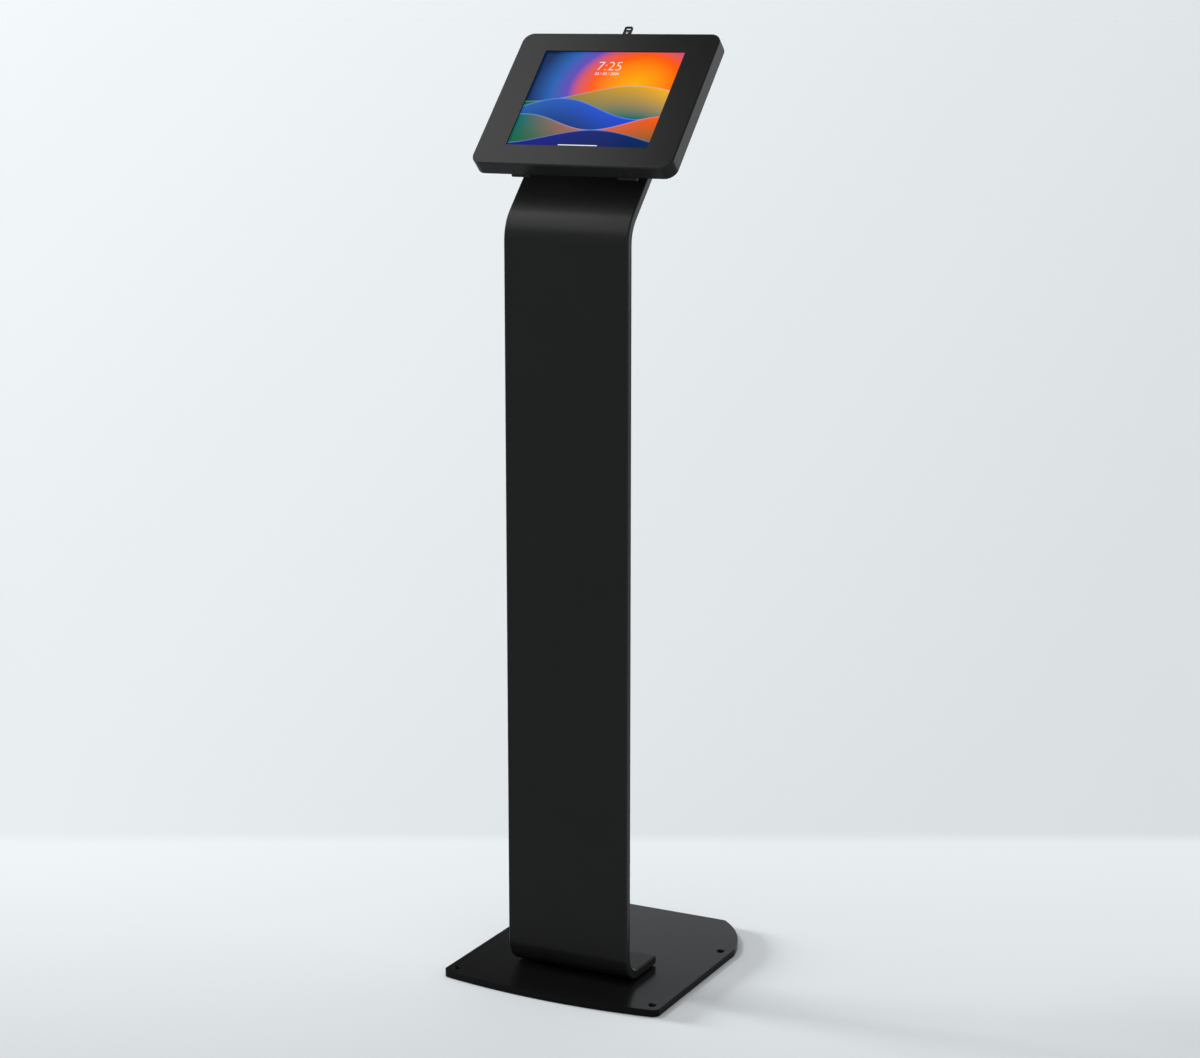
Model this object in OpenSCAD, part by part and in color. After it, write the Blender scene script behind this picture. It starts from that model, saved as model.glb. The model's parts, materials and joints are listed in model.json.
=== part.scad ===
// Floor-standing tablet kiosk: a flat base, a column bent from one plate, and a hinged enclosure with a lock.
// Millimetres, +Z up, the screen faces -Y. The origin lies on the floor under the middle of the base.

/* [Base] */
// Width of the base plate
base_w = 320.8; // [300:0.1:360]
// Depth of the base plate, from the front arc to the back edge
base_d = 360; // [340:1:420]
// Thickness of the base plate
base_t = 9.5; // [8:0.5:14]
// Radius of the shallow arc along the front edge
base_front_r = 890; // [600:10:1400]
// Width of the straight back edge
base_back_w = 204; // [160:1:240]
// Radius of the corners of the base
base_corner_r = 10; // [6:0.5:14]
// Distance from each side to the floor-anchor holes
anchor_side_inset = 14.4; // [12:0.1:30]
// Distance from the front of the base to the first anchor holes
anchor_front_inset = 29; // [26:1:60]
// Distance between the front and back anchor holes
anchor_pitch = 217; // [160:1:230]
// Diameter of the anchor holes
anchor_hole_d = 9; // [6:0.5:10]
// Diameter of the countersinks over the anchor holes
anchor_sink_d = 12.5; // [11:0.5:16]
// Diameter of the rubber pads under the base
pad_d = 24; // [16:1:36]
// Height that the pads lift the base off the floor
pad_proud = 0.8; // [0.5:0.1:2]
// Depth of the pads' seats in the base
pad_seat = 1.2; // [0.8:0.1:2]

/* [Column] */
// Width of the bent plate
plate_w = 178; // [150:1:200]
// Thickness of the bent plate
plate_t = 12; // [10:0.5:14]
// Rounding along the long edges of the plate
plate_edge_r = 2; // [0.5:0.1:4]
// Distance from the front of the base to the front of the column
column_setback = 69; // [50:1:100]
// Height of the knee above the underside of the foot
column_h = 1003; // [800:1:1100]
// Length of the foot, from the front of the column to its end
foot_len = 90.5; // [85:0.5:130]
// Outer radius of the bend above the foot
foot_bend_r = 35; // [24:1:40]
// Outer radius of the bend at the knee
knee_r = 58; // [40:1:80]
// Lean of the neck and the screen, back from the vertical
lean = 43.6; // [30:0.1:55]
// Thickness of the gasket between foot and base
gasket_t = 1.5; // [0.5:0.1:3]

/* [Enclosure] */
// Width of the screen window
window_w = 201.4; // [180:0.2:220]
// Height of the screen window
window_h = 160.9; // [145:0.1:180]
// Width of the frame on each side of the window
side_margin = 42.3; // [38:0.1:60]
// Width of the frame below the window
bottom_margin = 32.1; // [28:0.1:50]
// Width of the frame above the window
top_margin = 31.2; // [30:0.1:50]
// Depth of the enclosure's side walls
head_d = 21.2; // [20.6:0.1:26]
// Outer radius of the enclosure's corners
head_corner_r = 15; // [12:0.5:20]
// Rounding along the front edge of the enclosure
head_edge_r = 2.3; // [2.1:0.1:4]
// Thickness of the cover's sheet
sheet_t = 2; // [1.5:0.1:2]
// Thickness of the back tray's sheet
tray_t = 2; // [1.5:0.1:2.5]
// Height of the back tray's walls
tray_wall_h = 10; // [6:0.5:11]
// Distance up the neck from the knee corner to the enclosure
head_offset = 59.7; // [45:0.1:90]

/* [Bracket] */
// Depth of the channel between neck and enclosure
bracket_d = 25; // [18:0.5:40]
// Width of the channel
bracket_w = 150; // [130:1:160]
// Length of the channel
bracket_len = 150; // [130:1:160]
// Thickness of the channel's sheet
bracket_t = 2.5; // [2:0.1:3]
// Width of the channel's lips
lip_w = 30; // [24:1:34]
// Distance between the enclosure screws, across and along
screw_pitch = 100; // [75:1:104]
// Diameter of the cable passage through the neck
cable_d = 20; // [10:1:26]

/* [Tablet] */
// Amount by which the tablet is wider than the window on each side
tablet_reach_x = 17.3; // [14:0.1:22]
// Amount by which the tablet is taller than the window on each side
tablet_reach_y = 9.6; // [6:0.1:10]
// Thickness of the tablet
tablet_t = 7; // [5:0.1:8]
// Corner radius of the tablet
tablet_corner_r = 12; // [6:0.5:16]
// Thickness of the tablet's glass
glass_t = 1.5; // [1:0.1:2]
// Travel of the tablet's buttons
press_travel = 0.4; // [0.2:0.1:0.5]

/* [Hinges] */
// Distance from the middle of the enclosure to each hinge
hinge_x = 76; // [50:1:100]
// Length of each hinge
hinge_len = 26; // [20:1:40]
// Outer radius of the hinge knuckles
knuckle_r = 2.2; // [2:0.1:2.6]
// Radius of the hinge pins
pin_r = 1; // [0.6:0.1:1.2]
// Thickness of the hinge leaves
leaf_t = 1.2; // [1:0.1:1.4]

/* [Lock and key] */
// Diameter of the lock's threaded barrel
lock_d = 11; // [10:0.5:12]
// Diameter of the turning plug
plug_d = 7; // [6.6:0.1:7.4]
// Length of the barrel below the top of the enclosure
barrel_len = 14.8; // [13:0.1:14.8]
// Reach of the cam from the lock's axis
cam_reach = 8; // [7:0.1:8.5]
// Width of the key's bow
bow_w = 11.4; // [10:0.1:18]
// Height of the key above the top of the enclosure
key_h = 20.5; // [18:0.5:32]
// Thickness of the key's bow
bow_t = 2.6; // [2.4:0.1:4]

/* [Clearances] */
// Radial running clearance of turning parts
running = 0.05; // [0.02:0.01:0.1]
// Clearance between parts that move past each other
moving_gap = 0.3; // [0.2:0.05:0.5]
// Gap between the cover and the tray inside it
tray_gap = 2; // [2:0.1:2.4]
// Radial clearance of screws in their holes
screw_gap = 0.3; // [0.1:0.05:0.5]

/* [Hidden] */
$fn = 96;
arc_fn = 720;
through = 1;

black_coat = [0.14, 0.14, 0.15];
black_plastic = [0.07, 0.07, 0.08];
rubber = [0.10, 0.10, 0.10];
foam = [0.20, 0.20, 0.21];
zinc = [0.62, 0.63, 0.65];
brass = [0.74, 0.60, 0.32];
steel = [0.70, 0.71, 0.73];
glass_blue = [0.10, 0.22, 0.55];

// Base: the shoulders are one circle about the middle, wider than the plate, cut off by the back edge
shoulder_reach = 2.1;
half_w = base_w / 2;
back_y = base_d / 2;
base_top = pad_proud + base_t;
shoulder_r = half_w + shoulder_reach;
shoulder_y = back_y - sqrt(shoulder_r ^ 2 - (base_back_w / 2) ^ 2);
front_arc_y = base_front_r - back_y;
front_corner_x = half_w - base_corner_r;
front_corner_y = front_arc_y - sqrt((base_front_r - base_corner_r) ^ 2 - front_corner_x ^ 2);
back_corner_y = back_y - base_corner_r;
back_corner_x = sqrt((shoulder_r - base_corner_r) ^ 2 - (back_corner_y - shoulder_y) ^ 2);
// The corner circles stand out by a hair, so that they cross the edges that they round
corner_step = 0.01;
anchor_x = half_w - anchor_side_inset;
anchor_front_y = anchor_front_inset - back_y;
pad_inset = 42;
pad_back_inset = 30;

// Column: the plate's front face is the reference for both bends
column_y = column_setback - back_y;
foot_z = base_top + gasket_t;
knee_z = foot_z + column_h;
knee_tangent = knee_r * tan(lean / 2);
foot_flat_y = column_y + foot_bend_r;
foot_end_y = column_y + foot_len;
gasket_inset = 3;
foot_screw_r = 4;
foot_screw_head_r = 8;
foot_screw_head_h = 4.4;
foot_screw_grip = 8.5;
foot_screw_x = plate_w / 3;
foot_screw_inset = 13.5;
// Each flat stretch is let into its bend by a hair, so that the plate is one solid at any lean
bend_lap = 0.5;
bend_step = 0.01;

// Enclosure, in its own frame: x across, y up the face, z out of the face, from the face's lower edge
head_w = window_w + 2 * side_margin;
head_h = window_h + bottom_margin + top_margin;
middle_y = bottom_margin + window_h / 2;
tray_proud = 0.5;
tray_back_z = -(head_d + tray_proud);
tray_floor_z = tray_back_z + tray_t;
tray_inset = sheet_t + tray_gap;
neck_z = tray_back_z - bracket_d;
neck_end = head_offset + middle_y + bracket_len / 2;
window_gasket_t = 0.8;
window_gasket_w = 12;
window_gasket_lap = 0.5;
window_gasket_r = 4;

// Bracket and its fasteners
bolt_r = 3;
bolt_head_r = 5.5;
bolt_head_h = 3.4;
nut_t = 5;
screw_r = 2;
screw_head_r = 4;
screw_head_h = 2.4;
small_nut_t = 3.2;
thread_out = 1;
bolt_x = bracket_w / 2 - lip_w / 2;
screw_shift = 10;
screw_x = screw_pitch / 2 - screw_shift;
bracket_corner_r = 4;
cable_slot_w = 44;
cable_slot_h = 16;
grommet_wall = 6;
grommet_flange = 3;
grommet_flange_t = 2;

// Tablet
tablet_w = window_w + 2 * tablet_reach_x;
tablet_h = window_h + 2 * tablet_reach_y;
tablet_front_z = -(sheet_t + window_gasket_t + moving_gap);
tablet_back_z = tablet_front_z - tablet_t;
tablet_rim = 1.2;
block_t = 8;
block_leg = 24;
block_top_drop = 3;
block_corner_r = 3;
strip_w = 24;
strip_len = 120;
strip_x = 86;
strip_corner_r = 4;
button_w = 2.4;
button_proud = 0.5;
button_seat = 1.2;
power_len = 10;
volume_len = 20;
button_z = tablet_front_z - tablet_t * 0.55;
power_y = tablet_h / 2 - block_leg - power_len;
volume_x = block_leg + volume_len - tablet_w / 2;

// Hinges: the cover's leaf lies inside the lower wall, the tray's leaf on the back
hinge_y = sheet_t + leaf_t - knuckle_r;
hinge_gap = 0.6;
hinge_z = -(head_d + hinge_gap + knuckle_r);
knuckle_gap = 0.3;
middle_knuckle = hinge_len / 3;
leaf_reach = 12;
leaf_step = 1;
leaf_bridge = 3.2;
// The arms that join knuckles and leaves are a little narrower than the knuckles
arm_inset = 0.2;
rivet_r = 1.2;
rivet_head_r = 2.3;
rivet_head_h = 0.7;
rivet_pitch = hinge_len * 0.6;
pin_head_r = 1.6;
pin_head_t = 0.6;

// Lock, in its own frame: z up along the lock's axis from the top of the enclosure, y towards the back
lock_fit = 0.1;
lock_flange_r = lock_d / 2 + 2;
lock_flange_t = 1.2;
lock_nut_flats = 14;
lock_nut_t = 2.5;
plug_r = plug_d / 2;
cam_t = 1.8;
cam_drop = 1.4;
cam_w = 6;
cam_top_z = -(barrel_len + cam_drop);
cam_bottom_z = cam_top_z - cam_t;
tail_w = 4.6;
cam_screw_r = 1.2;
cam_screw_head_r = 2.5;
cam_screw_head_h = 1.3;
cam_screw_grip = 3.6;
keyway_w = 5.3;
keyway_t = 1.9;
keyway_bottom_z = -12.5;
key_gap = 0.15;
blade_w = keyway_w - 2 * key_gap;
blade_t = keyway_t - 2 * key_gap;
blade_bottom_z = keyway_bottom_z + 0.4;
bow_bottom_z = lock_flange_t + 0.6;
bow_corner_r = 2.5;
ring_side = 1.9;
ring_slot_w = bow_w - 2 * ring_side;
ring_slot_h = 4;
ring_slot_r = 1.2;
ring_rim = 1.8;
tongue_w = 6;
tongue_cover = 1.6;
tongue_top_z = key_h - ring_rim - ring_slot_h - tongue_cover;
bow_window_w = 4.4;
bow_window_h = 6;

// Catch on the tray that the turned cam slides behind
catch_t = 1.5;
catch_x = plug_r + 0.7;
catch_play = 1;
catch_lip_z = cam_w / 2 + catch_play;
catch_top_gap = 0.2;
catch_w = 3.8;
catch_wall_x = cam_reach + 2;
catch_foot_len = 16;
catch_foot_w = 12;
catch_screw_r = 1.5;
catch_screw_head_r = 2.6;
catch_screw_head_h = 1.2;

// Shared shapes and frames

module rounded_rect(w, h, r) {
    square([w - 2 * r, h], center = true);
    square([w, h - 2 * r], center = true);
    for (sx = [-1, 1], sy = [-1, 1])
        translate([sx * (w / 2 - r), sy * (h / 2 - r)])
            circle(r);
}

// Sweeps a profile round a rounded rectangle: its x runs out from the corner's centre, its y along z
module sweep_round(w, h, r) {
    for (side = [0:3]) {
        across = side % 2 == 0 ? w / 2 - r : h / 2 - r;
        along = side % 2 == 0 ? h / 2 - r : w / 2 - r;
        rotate([0, 0, 90 * side]) {
            translate([across, along, 0])
                rotate_extrude(angle = 90)
                    children();
            translate([across, along, 0])
                rotate([90, 0, 0])
                    linear_extrude(2 * along)
                        children();
        }
    }
}

// The neck's frame starts on the front face at the knee corner, the enclosure's at the lower edge of its face
module on_neck() {
    translate([0, column_y, knee_z])
        rotate([90 - lean, 0, 0])
            children();
}

module on_head() {
    on_neck()
        translate([0, head_offset, -neck_z])
            children();
}

module on_lock() {
    on_head()
        translate([0, head_h, -head_d / 2])
            rotate([-90, 0, 0])
                children();
}

module at_hinges() {
    for (side = [-1, 1])
        on_head()
            translate([side * hinge_x, 0, 0])
                children();
}

module at_bracket_bolts() {
    for (sx = [-1, 1], sy = [-1, 1])
        on_head()
            translate([sx * bolt_x, middle_y + sy * screw_pitch / 2, neck_z])
                children();
}

module at_tray_screws() {
    for (sx = [-1, 1], sy = [-1, 1])
        on_head()
            translate([sx * screw_x, middle_y + sy * screw_pitch / 2, tray_back_z])
                children();
}

module at_foot_screws() {
    for (sx = [-1, 1], y = [foot_flat_y + foot_screw_inset, foot_end_y - foot_screw_inset])
        translate([sx * foot_screw_x, y, pad_proud])
            children();
}

module at_pads() {
    for (sx = [-1, 1]) {
        translate([sx * (half_w - pad_inset), pad_inset - back_y, 0])
            children();
        translate([sx * (base_back_w / 2 - pad_back_inset), back_y - pad_back_inset, 0])
            children();
    }
}

module cable_slot(depth) {
    linear_extrude(depth)
        rounded_rect(cable_slot_w, cable_slot_h, cable_slot_h / 2 - 0.01);
}

// Base

// Square corner outside a rounded one, from the direction of one tangent point to that of the other
module corner_waste(x, y, from, to) {
    reach = 3 * base_corner_r;
    middle = (from + to) / 2;
    translate([x, y])
        polygon([
            [0, 0],
            reach * [cos(from), sin(from)],
            2 * reach * [cos(middle), sin(middle)],
            reach * [cos(to), sin(to)]
        ]);
}

module base_outline() {
    difference() {
        intersection() {
            square([base_w, base_d], center = true);
            translate([0, front_arc_y])
                circle(base_front_r, $fn = arc_fn);
            union() {
                translate([0, shoulder_y])
                    circle(shoulder_r, $fn = arc_fn);
                translate([-base_w, -base_d])
                    square([2 * base_w, base_d + shoulder_y]);
            }
        }
        for (side = [0, 1])
            mirror([side, 0]) {
                corner_waste(front_corner_x, front_corner_y,
                    atan2(front_corner_y - front_arc_y, front_corner_x), 0);
                corner_waste(back_corner_x, back_corner_y,
                    atan2(back_corner_y - shoulder_y, back_corner_x), 90);
            }
    }
    for (sx = [-1, 1]) {
        translate([sx * front_corner_x, front_corner_y])
            circle(base_corner_r + corner_step);
        translate([sx * back_corner_x, back_corner_y])
            circle(base_corner_r + corner_step);
    }
}

module anchor_hole() {
    sink_h = (anchor_sink_d - anchor_hole_d) / 2;
    translate([0, 0, -through])
        cylinder(d = anchor_hole_d, h = base_t + 2 * through);
    translate([0, 0, base_t - sink_h])
        cylinder(d1 = anchor_hole_d, d2 = anchor_sink_d + 2 * through, h = sink_h + through);
}

module base_plate() {
    color(black_coat)
        difference() {
            translate([0, 0, pad_proud])
                linear_extrude(base_t)
                    base_outline();
            for (sx = [-1, 1], y = [0, anchor_pitch])
                translate([sx * anchor_x, anchor_front_y + y, pad_proud])
                    anchor_hole();
            at_pads()
                cylinder(d = pad_d + 2 * lock_fit, h = pad_proud + pad_seat);
            at_foot_screws() {
                translate([0, 0, -through])
                    cylinder(r = foot_screw_r + screw_gap, h = base_t + 2 * through);
                translate([0, 0, -through])
                    cylinder(r = foot_screw_head_r + screw_gap, h = through + screw_gap);
                translate([0, 0, screw_gap])
                    cylinder(r1 = foot_screw_head_r + screw_gap, r2 = foot_screw_r + screw_gap,
                        h = foot_screw_head_h);
            }
        }
}

module base_pads() {
    color(rubber)
        at_pads()
            cylinder(d = pad_d, h = pad_proud + pad_seat);
}

module foot_gasket() {
    gasket_d = foot_end_y - foot_flat_y - gasket_inset;
    color(rubber)
        difference() {
            translate([0, foot_flat_y + gasket_d / 2, base_top])
                linear_extrude(gasket_t)
                    rounded_rect(plate_w - 2 * gasket_inset, gasket_d, gasket_inset);
            at_foot_screws()
                cylinder(r = foot_screw_r + screw_gap, h = base_t + gasket_t + through);
        }
}

module foot_screws() {
    color(zinc)
        at_foot_screws()
            translate([0, 0, screw_gap])
                difference() {
                    union() {
                        cylinder(r1 = foot_screw_head_r, r2 = foot_screw_r, h = foot_screw_head_h);
                        cylinder(r = foot_screw_r, h = base_t + gasket_t + foot_screw_grip - screw_gap);
                    }
                    translate([0, 0, -through])
                        cylinder(r = foot_screw_r * 0.7, h = foot_screw_head_h * 0.6 + through, $fn = 6);
                }
}

// Column

module plate_section(step = 0) {
    rounded_rect(plate_w + 2 * step, plate_t + 2 * step, plate_edge_r + step);
}

// One bend of the plate about an axis along x, from one angle through another
module plate_bend(outer_r, from, angle) {
    rotate([0, 90, 0])
        rotate([0, 0, from])
            rotate_extrude(angle = angle)
                translate([outer_r - plate_t / 2, 0])
                    rotate(90)
                        plate_section(bend_step);
}

module column_plate() {
    column_bottom_z = foot_z + foot_bend_r;
    column_top_z = knee_z - knee_tangent;
    color(black_coat)
        difference() {
            union() {
                translate([0, foot_flat_y - bend_lap, foot_z + plate_t / 2])
                    rotate([-90, 0, 0])
                        linear_extrude(foot_len - foot_bend_r + bend_lap)
                            plate_section();
                translate([0, foot_flat_y, column_bottom_z])
                    plate_bend(foot_bend_r, -90, 90);
                translate([0, column_y + plate_t / 2, column_bottom_z - bend_lap])
                    linear_extrude(column_top_z - column_bottom_z + 2 * bend_lap)
                        plate_section();
                translate([0, column_y + knee_r, column_top_z])
                    plate_bend(knee_r, -90 - lean, lean);
                on_neck()
                    translate([0, knee_tangent - bend_lap, -plate_t / 2])
                        rotate([-90, 0, 0])
                            linear_extrude(neck_end - knee_tangent + bend_lap)
                                plate_section();
            }
            at_foot_screws()
                cylinder(r = foot_screw_r + running, h = base_t + gasket_t + foot_screw_grip + through);
            at_bracket_bolts()
                translate([0, 0, -plate_t - through])
                    cylinder(r = bolt_r + screw_gap, h = plate_t + 2 * through);
            on_head()
                translate([0, middle_y, neck_z - plate_t - through])
                    cylinder(r = cable_d / 2 + grommet_wall, h = plate_t + 2 * through);
        }
}

module cable_grommet() {
    outer_r = cable_d / 2 + grommet_wall - lock_fit;
    color(rubber)
        on_head()
            translate([0, middle_y, neck_z - plate_t])
                difference() {
                    union() {
                        cylinder(r = outer_r, h = plate_t);
                        for (z = [-grommet_flange_t, plate_t])
                            translate([0, 0, z])
                                cylinder(r = outer_r + grommet_flange, h = grommet_flange_t);
                    }
                    translate([0, 0, -grommet_flange_t - through])
                        cylinder(d = cable_d, h = plate_t + 2 * grommet_flange_t + 2 * through);
                }
}

// Bracket

module bracket_section() {
    inner_w = bracket_w - 2 * bracket_t;
    inner_d = bracket_d - 2 * bracket_t;
    difference() {
        rounded_rect(bracket_w, bracket_d, bracket_corner_r);
        rounded_rect(inner_w, inner_d, bracket_corner_r - bracket_t);
        translate([-bracket_w / 2 + lip_w, 0])
            square([bracket_w - 2 * lip_w, bracket_d]);
    }
}

module mount_bracket() {
    color(black_coat)
        difference() {
            on_head()
                translate([0, middle_y - bracket_len / 2, tray_back_z - bracket_d / 2])
                    rotate([-90, 0, 0])
                        linear_extrude(bracket_len)
                            bracket_section();
            at_bracket_bolts()
                translate([0, 0, -through])
                    cylinder(r = bolt_r + screw_gap, h = bracket_t + 2 * through);
            at_tray_screws()
                translate([0, 0, -bracket_t - through])
                    cylinder(r = screw_r + screw_gap, h = bracket_t + 2 * through);
            on_head()
                translate([0, middle_y, tray_back_z - bracket_t - through])
                    cable_slot(bracket_t + 2 * through);
        }
}

module bracket_bolts() {
    grip = plate_t + bracket_t + nut_t + thread_out;
    color(zinc)
        at_bracket_bolts()
            translate([0, 0, -plate_t])
                difference() {
                    union() {
                        translate([0, 0, -bolt_head_h])
                            cylinder(r1 = bolt_head_r * 0.75, r2 = bolt_head_r, h = bolt_head_h);
                        cylinder(r = bolt_r, h = grip);
                    }
                    translate([0, 0, -bolt_head_h - through])
                        cylinder(r = bolt_r * 0.75, h = bolt_head_h * 0.7 + through, $fn = 6);
                }
}

module bracket_nuts() {
    color(zinc)
        at_bracket_bolts()
            translate([0, 0, bracket_t])
                difference() {
                    cylinder(r = bolt_head_r, h = nut_t, $fn = 6);
                    translate([0, 0, -through])
                        cylinder(r = bolt_r + running, h = nut_t + 2 * through);
                }
}

// Tray

module tray_outline(inset) {
    rounded_rect(head_w - 2 * inset, head_h - 2 * inset, head_corner_r - inset);
}

module back_tray() {
    color(black_coat)
        difference() {
            on_head() {
                translate([0, head_h / 2, tray_back_z])
                    linear_extrude(tray_t)
                        tray_outline(tray_inset);
                translate([0, head_h / 2, tray_back_z])
                    linear_extrude(tray_wall_h)
                        difference() {
                            tray_outline(tray_inset);
                            tray_outline(tray_inset + tray_t);
                        }
            }
            on_head() {
                translate([0, middle_y, tray_back_z - through])
                    cable_slot(tray_t + 2 * through);
                translate([-lock_nut_flats * 0.8, head_h / 2, tray_floor_z])
                    cube([lock_nut_flats * 1.6, head_h / 2, tray_wall_h]);
            }
            at_tray_screws()
                translate([0, 0, -through])
                    cylinder(r = screw_r + screw_gap, h = tray_t + 2 * through);
            at_tray_leaf_rivets()
                cylinder(r = rivet_r + running, h = leaf_t + tray_t + through);
            at_catch_screws()
                translate([0, 0, -tray_t - through])
                    cylinder(r = catch_screw_r + running, h = tray_t + 2 * through);
        }
}

module tray_screws() {
    length = tray_t + bracket_t + small_nut_t + thread_out;
    color(zinc)
        at_tray_screws()
            translate([0, 0, tray_t])
                difference() {
                    union() {
                        cylinder(r1 = screw_head_r, r2 = screw_head_r * 0.75, h = screw_head_h);
                        translate([0, 0, -length])
                            cylinder(r = screw_r, h = length);
                    }
                    translate([0, 0, screw_head_h * 0.4])
                        cylinder(r = screw_r * 0.7, h = screw_head_h, $fn = 6);
                }
}

module tray_nuts() {
    color(zinc)
        at_tray_screws()
            translate([0, 0, -bracket_t - small_nut_t])
                difference() {
                    cylinder(r = screw_head_r, h = small_nut_t, $fn = 6);
                    translate([0, 0, -through])
                        cylinder(r = screw_r + running, h = small_nut_t + 2 * through);
                }
}

// Tablet and its packing

module at_tablet(z) {
    on_head()
        translate([0, middle_y, z])
            children();
}

module foam_strips() {
    color(foam)
        for (sx = [-1, 1])
            at_tablet(tray_floor_z)
                translate([sx * strip_x, 0, 0])
                    linear_extrude(tablet_back_z - tray_floor_z)
                        rounded_rect(strip_w, strip_len, strip_corner_r);
}

module corner_blocks() {
    block_h = tablet_front_z - block_top_drop - tray_floor_z;
    block_size = block_leg + block_t;
    color(foam)
        at_tablet(tray_floor_z)
            linear_extrude(block_h)
                difference() {
                    for (sx = [-1, 1], sy = [-1, 1])
                        translate([sx * (tablet_w / 2 + block_t - block_size / 2),
                                   sy * (tablet_h / 2 + block_t - block_size / 2)])
                            rounded_rect(block_size, block_size, block_corner_r);
                    rounded_rect(tablet_w + 2 * moving_gap, tablet_h + 2 * moving_gap, tablet_corner_r);
                }
}

// A button with round ends, or its seat in the housing with a gap round it and room to travel behind it
module button_shape(length, gap, travel) {
    linear_extrude(button_proud + button_seat + travel)
        rounded_rect(length + 2 * gap, button_w + 2 * gap, button_w * 0.49 + gap);
}

module power_shape(gap, travel) {
    translate([-tablet_w / 2 - button_proud, power_y, button_z])
        rotate([0, 90, 0])
            rotate([0, 0, 90])
                button_shape(power_len, gap, travel);
}

module volume_shape(gap, travel) {
    translate([volume_x, tablet_h / 2 + button_proud, button_z])
        rotate([90, 0, 0])
            button_shape(volume_len, gap, travel);
}

module tablet_housing() {
    press_room = press_travel + moving_gap;
    color(steel)
        difference() {
            at_tablet(tablet_back_z)
                linear_extrude(tablet_t)
                    rounded_rect(tablet_w, tablet_h, tablet_corner_r);
            at_tablet(tablet_front_z - glass_t)
                linear_extrude(glass_t + through)
                    rounded_rect(tablet_w - 2 * tablet_rim, tablet_h - 2 * tablet_rim,
                        tablet_corner_r - tablet_rim);
            at_tablet(0) {
                power_shape(moving_gap, press_room);
                volume_shape(moving_gap, press_room);
            }
        }
}

module tablet_glass() {
    inset = tablet_rim + running;
    color(glass_blue)
        at_tablet(tablet_front_z - glass_t)
            linear_extrude(glass_t)
                rounded_rect(tablet_w - 2 * inset, tablet_h - 2 * inset, tablet_corner_r - inset);
}

module power_button() {
    color(steel)
        at_tablet(0)
            power_shape(0, 0);
}

module volume_rocker() {
    color(steel)
        at_tablet(0)
            volume_shape(0, 0);
}

// Hinges

module at_axis() {
    translate([0, hinge_y, hinge_z])
        rotate([0, 90, 0])
            children();
}

module knuckle(length) {
    at_axis()
        cylinder(r = knuckle_r, h = length, center = true);
}

module pin_bores() {
    at_hinges()
        at_axis()
            cylinder(r = pin_r + running, h = hinge_len + 2 * through, center = true);
}

module at_tray_leaf_rivets() {
    at_hinges()
        for (sx = [-1, 1])
            translate([sx * rivet_pitch / 2, tray_inset + leaf_reach * 0.6, tray_back_z - leaf_t])
                children();
}

module at_cover_leaf_rivets() {
    at_hinges()
        for (sx = [-1, 1])
            translate([sx * rivet_pitch / 2, 0, hinge_z + leaf_bridge + leaf_reach * 0.5])
                rotate([-90, 0, 0])
                    children();
}

// Fixed leaf: two outer knuckles and a plate up the back of the tray
module hinge_tray_leaves() {
    outer_len = (hinge_len - middle_knuckle) / 2 - knuckle_gap;
    outer_x = hinge_len / 2 - outer_len / 2;
    leaf_z = tray_back_z - leaf_t;
    leaf_bottom_y = tray_inset + leaf_step;
    color(black_coat)
        difference() {
            at_hinges() {
                for (sx = [-1, 1])
                    translate([sx * outer_x, 0, 0]) {
                        knuckle(outer_len);
                        translate([arm_inset - outer_len / 2, hinge_y, leaf_z])
                            cube([outer_len - 2 * arm_inset, leaf_bottom_y - hinge_y, leaf_t]);
                    }
                translate([-hinge_len / 2, leaf_bottom_y, leaf_z])
                    cube([hinge_len, leaf_reach, leaf_t]);
            }
            pin_bores();
            at_tray_leaf_rivets()
                translate([0, 0, -through])
                    cylinder(r = rivet_r + running, h = leaf_t + 2 * through);
        }
}

module tray_leaf_rivets() {
    color(black_coat)
        at_tray_leaf_rivets() {
            translate([0, 0, -rivet_head_h])
                cylinder(r1 = rivet_head_r * 0.7, r2 = rivet_head_r, h = rivet_head_h);
            cylinder(r = rivet_r, h = leaf_t + tray_t);
        }
}

// Moving leaf: the middle knuckle, a bridge under the tray's edge and a plate inside the cover's lower wall
module hinge_cover_leaves() {
    tab = middle_knuckle - knuckle_gap;
    arm_w = tab - 2 * arm_inset;
    color(black_coat)
        difference() {
            at_hinges() {
                knuckle(tab);
                translate([-arm_w / 2, sheet_t, hinge_z + pin_r])
                    cube([arm_w, leaf_t, leaf_bridge - pin_r]);
                translate([-hinge_len / 2, sheet_t, hinge_z + leaf_bridge])
                    cube([hinge_len, leaf_t, leaf_reach]);
            }
            pin_bores();
            at_cover_leaf_rivets()
                cylinder(r = rivet_r + running, h = sheet_t + leaf_t + through);
        }
}

module cover_leaf_rivets() {
    color(black_coat)
        at_cover_leaf_rivets() {
            translate([0, 0, -rivet_head_h])
                cylinder(r1 = rivet_head_r * 0.7, r2 = rivet_head_r, h = rivet_head_h);
            cylinder(r = rivet_r, h = sheet_t + leaf_t);
        }
}

module hinge_pins() {
    color(black_coat)
        at_hinges()
            at_axis() {
                cylinder(r = pin_r, h = hinge_len + 2 * running, center = true);
                for (end = [-1, 1])
                    translate([0, 0, end * (hinge_len / 2 + running + pin_head_t / 2)])
                        cylinder(r = pin_head_r, h = pin_head_t, center = true);
            }
}

// Cover

// Wall of the cover and the bend into its face, seen along the wall
module cover_wall_section() {
    bend_x = head_corner_r - head_edge_r;
    translate([head_corner_r - sheet_t, -head_d])
        square([sheet_t, head_d - head_edge_r]);
    translate([bend_x, -head_edge_r])
        intersection() {
            square(head_edge_r);
            difference() {
                circle(head_edge_r);
                circle(head_edge_r - sheet_t);
            }
        }
}

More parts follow.
